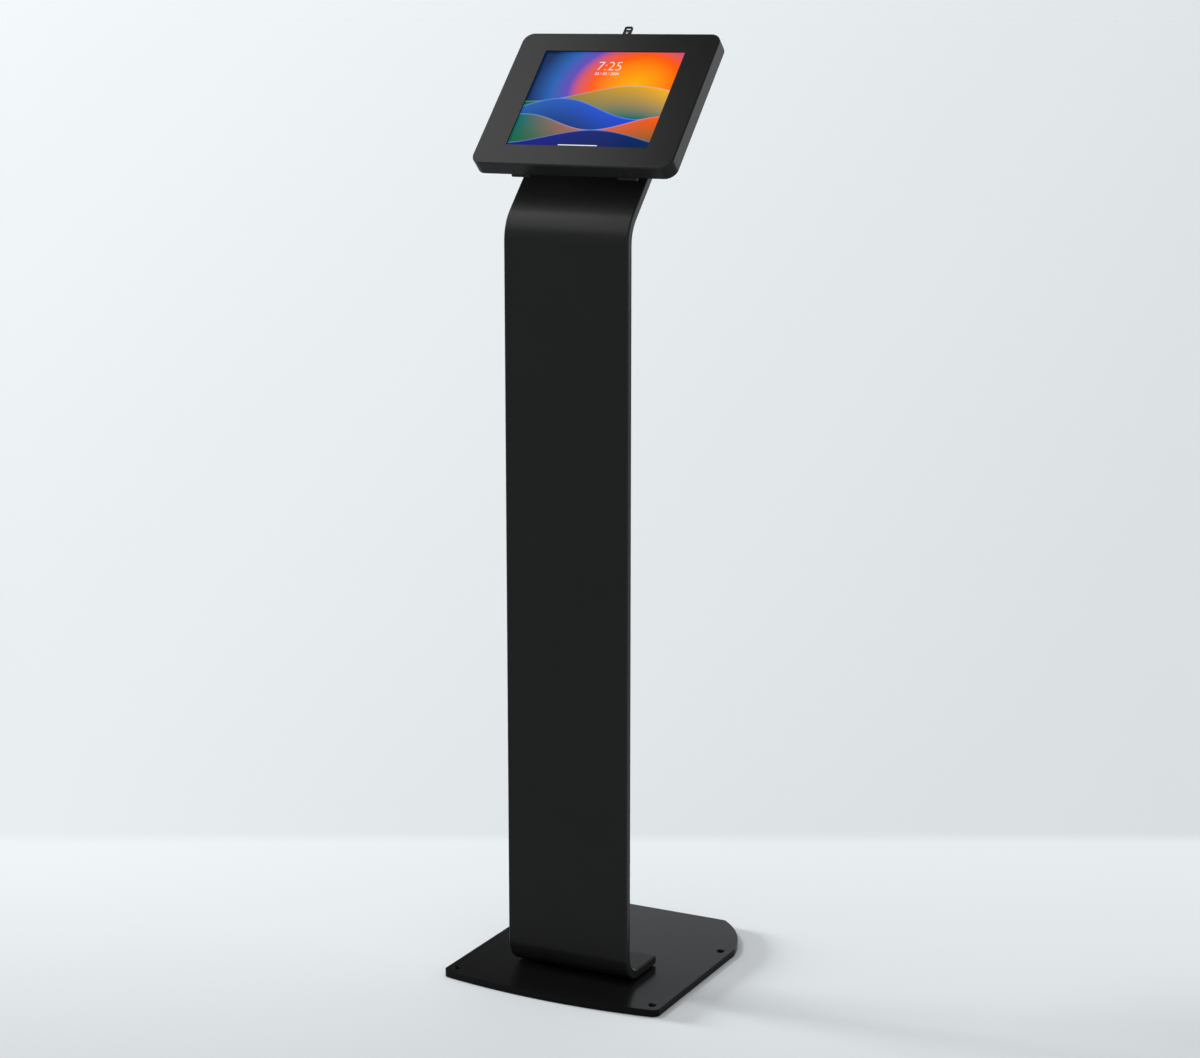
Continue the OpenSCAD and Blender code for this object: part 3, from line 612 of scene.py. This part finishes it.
def evening_hills(glass):
    """The screen's picture, and a place on it in metres from its middle: x across and y up."""
    x = glass.place.along(across)
    y = glass.place.along(up_face, glass_middle.y)
    width, height = display_half.x, display_half.y
    sun_x, sun_y, sun_flatness = 0.42 * width, 0.30 * height, 1.2
    colour_reach = 1.7 * width
    fade, rim_w, ridge_softness = 0.65 * height, 0.025 * height, 0.0003
    from_sun_x, from_sun_y = x - sun_x, (y - sun_y) * sun_flatness
    squared = from_sun_x * from_sun_x + from_sun_y * from_sun_y
    glow = squared.math("SQRT", squared) / colour_reach
    sky_stops = ((0.0, GOLD), (0.20, AMBER), (0.33, ORANGE), (0.42, ROSE), (0.50, VIOLET), (0.62, AZURE),
                 (0.78, NAVY), (1.0, INK))
    picture = glow.node("ShaderNodeValToRGB", {"stops": sky_stops}, {"Fac": glow})
    shade = (x / colour_reach + 0.5).clamped()
    # Each hill's ridge, and its colours on the left, on the right and at the foot
    hills = (
        (wave(x, 0.12 * height, 0.17 * height, 2.7 * width, 0.5), GREEN, GOLD, TEAL),
        (wave(x, -0.18 * height, 0.20 * height, 2.1 * width, 2.9), AZURE, BLUE, NAVY),
        (wave(x, -0.46 * height, 0.15 * height, 1.8 * width, 4.5), TEAL, ORANGE, GREEN),
        (wave(x, -0.76 * height, 0.15 * height, 2.4 * width, 1.2), ROYAL, NAVY, INK),
    )
    for ridge, left, right_tone, foot in hills:
        below = ridge - y
        slope = (below / fade).clamped().blend(shade.blend(left, right_tone), foot)
        rim = (1 - below / rim_w).clamped() * 0.4
        picture = below.over(0, ridge_softness).blend(picture, rim.blend(slope, PALE))
    return picture, x, y


print(f"display {2000 * display_half.x:.0f} x {2000 * display_half.y:.0f} mm")

# %% The lit glass


def lit_glass(name):
    """A glossy pane over a lit picture, with a black border round it."""
    border_softness = 0.0002
    glass = Finish(name)
    glass.shader.inputs["Specular IOR Level"].default_value = 0.012
    picture, x, y = evening_hills(glass)
    past_x = x.math("ABSOLUTE", x).over(display_half.x, border_softness)
    past_y = y.math("ABSOLUTE", y).over(display_half.y, border_softness)
    outside = past_x.math("MAXIMUM", past_x, past_y)
    smudges = glass.place.noise(size=0.03, detail=4.0)
    glass.set({
        "Base Color": (0.004, 0.004, 0.005, 1),
        "Emission Color": outside.blend(picture, (0, 0, 0, 1)),
        "Emission Strength": 1.0,
        "Roughness": 0.10 + smudges * 0.06,
    })
    return glass


finishes["screen"] = lit_glass("screen")
print("slots without a finish:", sorted(set(slot_of.values()) - set(finishes)))

# %% [markdown]
# Modelling helpers. Each piece is a bmesh, finished by one function: it becomes an object at the origin,
# takes the finish of the CAD node that it stands for, rides on that node's body and hides the node. A
# weighted-normal modifier keeps the wide faces flat, so that only the rounded edges catch the light.

# %% Finishing a piece


def finished(shape, name, node):
    """Makes a bmesh the piece that stands for a CAD node."""
    mesh = mesh_of(shape, name)
    mesh.polygons.foreach_set("use_smooth", [True] * len(mesh.polygons))
    mesh.set_sharp_from_angle(angle=radians(40))
    mesh.materials.append(finishes[slot_of[node]].material)
    piece = linked(name, mesh)
    flats = piece.modifiers.new("flat faces", "WEIGHTED_NORMAL")
    flats.keep_sharp = True
    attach(piece, body_of[node])
    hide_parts(node)
    print(f"{name}: {len(mesh.polygons)} faces for {node}")


print("CAD nodes to dress:", len(nodes))

# %% [markdown]
# The other helpers wrap the operators that come back most. An extrusion's result lists all that it made, so
# each helper picks what the next step goes on from: the end face, or the loop at the far end of a wall.

# %% Rounding and pulling


def only(kind, geom):
    """The parts of some geometry that are of one kind."""
    return [part for part in geom if isinstance(part, kind)]


def once(parts):
    """Each part once, in the order in which it came."""
    return list(dict.fromkeys(parts))


def round_over(shape, edges, radius, segments=3):
    """Rounds edges and marks the new faces as edges for the coat."""
    mark = shape.faces.layers.float.get(EDGE) or shape.faces.layers.float.new(EDGE)
    edges = [edge for edge in edges if edge.is_valid]
    made = bmesh.ops.bevel(shape, geom=edges, offset=radius, segments=segments, profile=0.5, affect="EDGES",
                           clamp_overlap=True, material=-1)
    for face in made["faces"]:
        face[mark] = 1.0


def sharp_edges(shape, least=radians(35)):
    """The edges at which the surface turns by more than that angle."""
    return [edge for edge in shape.edges if edge.is_manifold and edge.calc_face_angle() > least]


def extruded(shape, face, move):
    """Pulls a face along a move and gives the new end face."""
    made = bmesh.ops.extrude_face_region(shape, geom=[face] + face.edges[:])["geom"]
    bmesh.ops.translate(shape, verts=only(BMVert, made), vec=move)
    return only(BMFace, made)[0]


def extruded_loop(shape, edges, move, scale=1.0, about=None):
    """Pulls a loop of edges into a wall and gives the loop at its other end."""
    made = bmesh.ops.extrude_edge_only(shape, edges=edges)["geom"]
    verts = only(BMVert, made)
    if about is not None:
        space = Matrix.Translation(-Vector(about))
        bmesh.ops.scale(shape, verts=verts, vec=(scale, scale, 1), space=space)
    bmesh.ops.translate(shape, verts=verts, vec=move)
    return [edge for edge in only(BMEdge, made) if all(vert in verts for vert in edge.verts)]


def circle_edges(shape, radius, matrix):
    """A circle of loose edges."""
    verts = bmesh.ops.create_circle(shape, segments=48, radius=radius, matrix=matrix)["verts"]
    return once(edge for vert in verts for edge in vert.link_edges)


print("helpers ready")

# %% [markdown]
# The base is a heavy steel slab. Its front edge is a shallow arc, its sides run straight, and its back
# corners are cut off by one wide circle. It could be a box with its corners cut, but the eye follows its
# long arcs. So half of the outline is drawn by spinning a vertex round each arc's centre, and mirroring
# makes it whole. First the centres and turns of the arcs are worked out, so that each arc meets the next.

# %% The base's sizes
base_front_r, base_back_half, base_corner_r = 0.890, 0.102, 0.010
shoulder_proud = 0.0021

base_low, base_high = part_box("base_plate")
half_w, front_y, back_y = base_high.x, base_low.y, base_high.y
top_z, bottom_z = base_high.z, base_low.z
shoulder_r = half_w + shoulder_proud
front_arc_y = front_y + base_front_r
corner_x = half_w - base_corner_r
corner_y = front_arc_y - math.sqrt((base_front_r - base_corner_r) ** 2 - corner_x ** 2)
shoulder_y = back_y - math.sqrt(shoulder_r ** 2 - base_back_half ** 2)
back_corner_y = back_y - base_corner_r
back_corner_x = math.sqrt((shoulder_r - base_corner_r) ** 2 - (back_corner_y - shoulder_y) ** 2)
front_turn = math.atan2(corner_y - front_arc_y, corner_x)
side_turn = math.acos(half_w / shoulder_r)
back_turn = math.atan2(back_corner_y - shoulder_y, back_corner_x)
print(f"base {2000 * half_w:.0f} x {1000 * (back_y - front_y):.0f} x {1000 * (top_z - bottom_z):.1f} mm")

# %% The base's outline


def arc_from(shape, vert, centre, angle, steps):
    """Draws an arc by spinning a vertex about an upright axis, and gives its last vertex."""
    made = bmesh.ops.spin(shape, geom=[vert], cent=(*centre, top_z), axis=(0, 0, 1), angle=angle, steps=steps)
    return only(BMVert, made["geom_last"])[0]


def line_to(shape, vert, place):
    """Draws a straight line from a vertex, and gives its last vertex."""
    end = bmesh.ops.extrude_vert_indiv(shape, verts=[vert])["verts"][0]
    end.co = (*place, top_z)
    return end


def base_outline(shape):
    """The outline's edges, at the height of the top."""
    pen = bmesh.ops.create_vert(shape, co=(0, front_y, top_z))["vert"][0]
    pen = arc_from(shape, pen, (0, front_arc_y), front_turn + math.pi / 2, steps=24)
    pen = arc_from(shape, pen, (corner_x, corner_y), -front_turn, steps=12)
    pen = line_to(shape, pen, (half_w, shoulder_y + shoulder_r * math.sin(side_turn)))
    pen = arc_from(shape, pen, (0, shoulder_y), back_turn - side_turn, steps=24)
    pen = arc_from(shape, pen, (back_corner_x, back_corner_y), math.pi / 2 - back_turn, steps=8)
    line_to(shape, pen, (0, back_y))
    bmesh.ops.mirror(shape, geom=shape.verts[:] + shape.edges[:], merge_dist=1e-5, axis="X")
    return shape.edges[:]


slab = bmesh.new()
outline = base_outline(slab)
print(f"outline of {len(outline)} edges")

# %% [markdown]
# Four countersunk holes near the corners take floor anchors, and four more in the underside take the screws
# that hold the column's foot. Where they are is known from the record and from the screws themselves.

# %% Places of the holes
screw_head_r = 0.008

anchor_mount = next(mount for mount in record["mounts"] if mount["name"] == "floor_anchors")
anchor_y = anchor_mount["pos_m"][1]
# Half of each spacing, in metres
half_x, half_y = [anchor_mount["dims"][f"spacing_{axis}_mm"] / 2000 for axis in "xy"]
anchors = [Vector((sx * half_x, anchor_y + sy * half_y, top_z)) for sx in (-1, 1) for sy in (-1, 1)]
screw_low, screw_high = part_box("foot_screws")
screw_x = screw_high.x - screw_head_r
screw_rows = screw_low.y + screw_head_r, screw_high.y - screw_head_r
screw_places = [Vector((sx * screw_x, y, bottom_z)) for sx in (-1, 1) for y in screw_rows]
print(f"{len(anchors)} anchor holes and {len(screw_places)} screw holes")

# %% [markdown]
# The anchor holes are loops inside the outline, so that one fill makes the top with its holes. The walls
# are then pulled down from the loops. The screw holes are pulled up from the underside in the same way, and
# end just below the top. The faces that look up are marked as ground faces for the paint before the rims
# are rounded.

# %% Base slab
anchor_hole_r, anchor_sink_r = 0.0045, 0.00625
screw_hole_r, screw_sink_r, screw_sink_h, screw_recess = 0.0043, 0.0083, 0.0044, 0.0003
screw_skin = 0.0009
base_edge_r, sink_edge_r = 0.0009, 0.0003

sinks = [circle_edges(slab, anchor_sink_r, Matrix.Translation(place)) for place in anchors]
sink_edges = [edge for loop in sinks for edge in loop]
bmesh.ops.triangle_fill(slab, use_beauty=True, edges=outline + sink_edges)
lower_rim = extruded_loop(slab, outline, (0, 0, bottom_z - top_z))
sink_h = anchor_sink_r - anchor_hole_r
hole_ends = []
for place, loop in zip(anchors, sinks):
    neck = extruded_loop(slab, loop, (0, 0, -sink_h), anchor_hole_r / anchor_sink_r, place)
    hole_ends += extruded_loop(slab, neck, (0, 0, bottom_z - top_z + sink_h))
mouths = [circle_edges(slab, screw_sink_r, Matrix.Translation(place)) for place in screw_places]
mouth_edges = [edge for loop in mouths for edge in loop]
bmesh.ops.triangle_fill(slab, use_beauty=True, edges=lower_rim + hole_ends + mouth_edges)
screw_rise = top_z - bottom_z - screw_recess - screw_sink_h - screw_skin
for place, loop in zip(screw_places, mouths):
    seat = extruded_loop(slab, loop, (0, 0, screw_recess))
    throat = extruded_loop(slab, seat, (0, 0, screw_sink_h), screw_hole_r / screw_sink_r, place)
    end = extruded_loop(slab, throat, (0, 0, screw_rise))
    bmesh.ops.contextual_create(slab, geom=end)
bmesh.ops.recalc_face_normals(slab, faces=slab.faces)
ground = slab.faces.layers.float.new(GROUND)
for face in slab.faces:
    face[ground] = 1.0 if face.normal.z > 0.5 else 0.0
round_over(slab, outline + lower_rim, base_edge_r)
round_over(slab, sink_edges, sink_edge_r, segments=2)
finished(slab, "base_slab", "base_plate")

# %% [markdown]
# The column is one plate, bent twice. A box that a modifier bends would be stretched in its bends, so a
# sweep along its path makes it: the plate's section is drawn once, at the end of the foot, and pulled
# straight, spun round the lower bend, pulled up, spun round the knee and pulled up the neck. The rounded
# long edges come from the section itself. The path starts on the gasket under the foot, and its neck lies
# against the flange of the grommet, so both are measured first.

# %% The column's path
plate_t, foot_bend_r, knee_r = 0.012, 0.035, 0.058
gasket_inset, grommet_flange = 0.003, 0.002

column_low, column_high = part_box("column_plate")
plate_w = column_high.x - column_low.x
column_front = column_low.y
gasket_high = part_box("foot_gasket")[1]
foot_bottom = gasket_high.z
foot_end = gasket_high.y + gasket_inset
foot_flat = column_front + foot_bend_r
grommet_low, grommet_high = box_along(face_turn, "cable_grommet")
neck_front = grommet_high.z - grommet_flange
knee_corner = Vector((0, column_front, (neck_front - out_of_face.y * column_front) / out_of_face.z))
knee_tangent = knee_r * math.tan(lean / 2)
knee_start = knee_corner.z - knee_tangent
neck_start = knee_corner.dot(up_face) + knee_tangent
neck_end = box_along(face_turn, "column_plate")[1].y
print(f"plate {1000 * plate_w:.0f} mm wide, knee {knee_start:.3f} m high")

# %% [markdown]
# The cable passes through the neck. Its passage is a square of the sweep that is taken out on both faces
# and filled again round a circle. A wall then bridges the two circles.

# %% Cable passage
passage_border, grommet_lap = 0.006, 0.0029
passage_middle = (grommet_low.y + grommet_high.y) / 2
passage_r = (grommet_high.y - grommet_low.y) / 2 - grommet_lap
passage_half = passage_r + passage_border


def cut_faces(shape, faces, place, normal):
    """Cuts faces along a plane and gives their parts."""
    edges = [edge for face in faces for edge in face.edges]
    verts = [vert for face in faces for vert in face.verts]
    geom = once(faces + edges + verts)
    cut = bmesh.ops.bisect_plane(shape, geom=geom, plane_co=place, plane_no=normal)["geom"]
    return only(BMFace, cut)


def open_passage(shape):
    """Cuts the cable passage through the neck."""
    near = 1e-4
    stretch = [face for face in shape.faces if abs(face.normal.dot(out_of_face)) > 0.99
               and abs(face.calc_center_median().dot(up_face) - passage_middle) < near]
    for side in (-passage_half, passage_half):
        stretch = cut_faces(shape, stretch, (side, 0, 0), across)
    squares = [face for face in stretch if abs(face.calc_center_median().x) < near]
    bmesh.ops.delete(shape, geom=squares, context="FACES_ONLY")
    rim = [edge for edge in shape.edges if edge.is_boundary]
    rings = []
    for depth in (neck_front, neck_front - plate_t):
        place = face_turn @ Matrix.Translation((0, passage_middle, depth))
        ring = circle_edges(shape, passage_r, place)
        square = [edge for edge in rim if abs(edge.verts[0].co.dot(out_of_face) - depth) < plate_t / 4]
        bmesh.ops.triangle_fill(shape, use_beauty=True, edges=square + ring)
        rings += ring
    bmesh.ops.bridge_loops(shape, edges=rings)


print(f"passage {2000 * passage_r:.0f} mm wide")

# %% Column plate
plate_edge_r, plate_end_r = 0.002, 0.0008
bend_steps = 24


def bent(shape, face, centre, angle):
    """Swings a face about an axis across the plate and gives the new end face."""
    geom = [face] + face.edges[:] + face.verts[:]
    made = bmesh.ops.spin(shape, geom=geom, cent=centre, axis=across, angle=angle, steps=bend_steps)
    return only(BMFace, made["geom_last"])[0]


plate = bmesh.new()
section_turn = Matrix.Rotation(math.pi / 2, 4, "X")
section_place = Matrix.Translation((0, foot_end, foot_bottom + plate_t / 2)) @ section_turn
unit_square(plate, section_place @ Matrix.Diagonal((plate_w, plate_t, 1, 1)))
bmesh.ops.bevel(plate, geom=plate.verts[:], offset=plate_edge_r, segments=5, profile=0.5, affect="VERTICES",
                material=-1)
section = extruded(plate, plate.faces[:][0], (0, foot_flat - foot_end, 0))
section = bent(plate, section, (0, foot_flat, foot_bottom + foot_bend_r), -math.pi / 2)
section = extruded(plate, section, (0, 0, knee_start - foot_bottom - foot_bend_r))
section = bent(plate, section, (0, column_front + knee_r, knee_start), -lean)
reached = neck_start
for stop in (passage_middle - passage_half, passage_middle + passage_half, neck_end):
    section = extruded(plate, section, up_face * (stop - reached))
    reached = stop
bmesh.ops.recalc_face_normals(plate, faces=plate.faces)
open_passage(plate)
bmesh.ops.recalc_face_normals(plate, faces=plate.faces)
# Faces turned partly sideways (the rounded long edges and the passage's wall) are marked so the coat paints them
# lighter, partly as a painted highlight
mark = plate.faces.layers.float.new(EDGE)
for face in plate.faces:
    if 0.1 < abs(face.normal.x) < 0.99:
        face[mark] = 1.0
ends = [face for face in plate.faces if len(face.verts) > 12 and abs(face.normal.x) < 0.1
        and face.calc_area() < 1.1 * plate_w * plate_t]
round_over(plate, once(edge for face in ends for edge in face.edges), plate_end_r)
finished(plate, "bent_column", "column_plate")

# %% [markdown]
# The cover is folded sheet: a face with a window, and four walls. A box without a back gives its outside.
# The upright edges are rounded first and the front rim after them, so that the rounding runs round the
# corners. Four cuts part the window from the face, which leaves a cleaner mesh than a boolean would, and a
# solidify gives the sheet its thickness. The cut edges are broken last.

# %% Front cover
head_corner_r, head_edge_r, sheet_t = 0.015, 0.0023, 0.002
window_w, window_h, window_low = 0.2014, 0.1609, 0.0321
broken_edge = 0.0003


def front_of(shape):
    """The face that lies furthest to the front."""
    return max(shape.faces, key=lambda face: face.calc_center_median().z)


cover = bmesh.new()
middle = Matrix.Translation((0, head_h / 2, -head_d / 2))
bmesh.ops.create_cube(cover, size=1, matrix=middle @ Matrix.Diagonal((head_w, head_h, head_d, 1)))
bmesh.ops.delete(cover, geom=[face for face in cover.faces if face.normal.z < -0.5], context="FACES_ONLY")
uprights = [edge for edge in cover.edges if abs(edge.verts[0].co.z - edge.verts[1].co.z) > head_d / 2]
bmesh.ops.bevel(cover, geom=uprights, offset=head_corner_r, segments=14, profile=0.5, affect="EDGES",
                material=-1)
round_over(cover, front_of(cover).edges[:], head_edge_r, segments=6)
cuts = (((-window_w / 2, 0, 0), (1, 0, 0)), ((window_w / 2, 0, 0), (1, 0, 0)),
        ((0, window_low, 0), (0, 1, 0)), ((0, window_low + window_h, 0), (0, 1, 0)))
pieces = [front_of(cover)]
for place, normal in cuts:
    pieces = cut_faces(cover, pieces, place, normal)
window_middle = Vector((0, window_low + window_h / 2, 0))
window = min(pieces, key=lambda face: (face.calc_center_bounds() - window_middle).length)
bmesh.ops.delete(cover, geom=[window], context="FACES_ONLY")
bmesh.ops.recalc_face_normals(cover, faces=cover.faces)
bmesh.ops.solidify(cover, geom=cover.faces[:], thickness=sheet_t)
bmesh.ops.recalc_face_normals(cover, faces=cover.faces)
round_over(cover, sharp_edges(cover, radians(60)), broken_edge, segments=2)
bmesh.ops.transform(cover, matrix=on_head, verts=cover.verts)
finished(cover, "folded_cover", "front_cover")

# %% [markdown]
# Everything else is already the right shape, but real edges are never perfectly sharp: sheet is deburred,
# moulded parts have a small radius, and turned parts have a broken edge. Each of these nodes is copied, its
# triangles are merged back into whole faces, and its sharp edges are rounded by what its making would
# leave.

# %% Eased copies of the other pieces
easings = {
    "base_pads": 0.0004, "foot_gasket": 0.0003, "foot_screws": 0.0002,
    "mount_bracket": 0.0004, "bracket_bolts": 0.0005, "bracket_nuts": 0.0004, "cable_grommet": 0.0006,
    "back_tray": 0.0004, "tray_screws": 0.0003, "tray_nuts": 0.0003,
    "foam_strips": 0.0006, "corner_blocks": 0.0009,
    "tablet_housing": 0.0003, "tablet_glass": 0.0002, "power_button": 0.0002, "volume_rocker": 0.0002,
    "lock_catch": 0.0002, "catch_screws": 0.0002,
    "hinge_tray_leaves": 0.0002, "tray_leaf_rivets": 0.0002, "hinge_pins": 0.0001,
    "hinge_cover_leaves": 0.0002, "cover_leaf_rivets": 0.0002, "window_gasket": 0.0001,
    "lock_body": 0.0002, "lock_nut": 0.0003, "lock_plug": 0.0002, "lock_cam": 0.0002, "cam_screw": 0.0002,
    "key_blade": 0.00015, "key_bow": 0.0006,
}


def eased(node, radius):
    """A copy of a CAD node with its sharp edges rounded."""
    shape = bmesh.new()
    shape.from_mesh(nodes[node].data)
    bmesh.ops.remove_doubles(shape, verts=shape.verts, dist=1e-6)
    bmesh.ops.dissolve_limit(shape, angle_limit=radians(0.5), verts=shape.verts, edges=shape.edges)
    round_over(shape, sharp_edges(shape), radius, segments=2)
    finished(shape, f"{node}_eased", node)


for node, radius in easings.items():
    eased(node, radius)

# %% [markdown]
# The screen shows a clock and a bar, as a tablet does while it waits. The digits start as a text curve with
# a trace of depth, become a mesh, and are then carried to the glass.

# %% Marks on the screen
mark_depth = 0.00003
mark_height = glass_high.z - cover_high.z + mark_depth
lit_white = Finish("lit_white")
lit_white.shader.inputs["Specular IOR Level"].default_value = 0
lit_white.set({
    "Base Color": (0, 0, 0, 1),
    "Emission Color": lit_white.place.noise(size=0.002).blend((0.80, 0.84, 0.86, 1), (0.96, 0.97, 0.97, 1)),
    "Emission Strength": 1.0,
})


def on_screen(mesh, name, y):
    """Carries a flat mesh to the middle of the face, at a height in metres above the face's lower edge."""
    mesh.transform(on_head @ Matrix.Translation((0, y, mark_height)))
    mesh.materials.clear()
    mesh.materials.append(lit_white.material)
    piece = linked(name, mesh)
    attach(piece, body_of["tablet_glass"])
    print(f"{name}: {len(mesh.polygons)} faces")


def digits(text, name, y, size, thinning):
    """Digits with strokes that are thinned by a share of their height."""
    curve = bpy.data.curves.new(name, "FONT")
    curve.body = text
    curve.size = size
    curve.align_x = "CENTER"
    curve.extrude = mark_depth
    curve.offset = -thinning * size
    writer = linked(name, curve)
    mesh = bpy.data.meshes.new_from_object(writer.evaluated_get(bpy.context.evaluated_depsgraph_get()))
    bpy.data.objects.remove(writer)
    on_screen(mesh, name, y)


def bar(name, y, width, height):
    """A bar with round ends."""
    end_r = 0.499 * height
    shape = bmesh.new()
    unit_square(shape, Matrix.Diagonal((width, height, 1, 1)))
    bmesh.ops.bevel(shape, geom=shape.verts[:], offset=end_r, segments=6, profile=0.5, affect="VERTICES",
                    material=-1)
    extruded(shape, shape.faces[:][0], (0, 0, mark_depth))
    bmesh.ops.recalc_face_normals(shape, faces=shape.faces)
    on_screen(mesh_of(shape, name), name, y)


digits("7:25", "clock", y=0.1625, size=0.0215, thinning=0.02)
digits("22 / 03 / 2026", "day", y=0.1546, size=0.0061, thinning=0)
bar("home_bar", y=0.0358, width=0.056, height=0.0014)
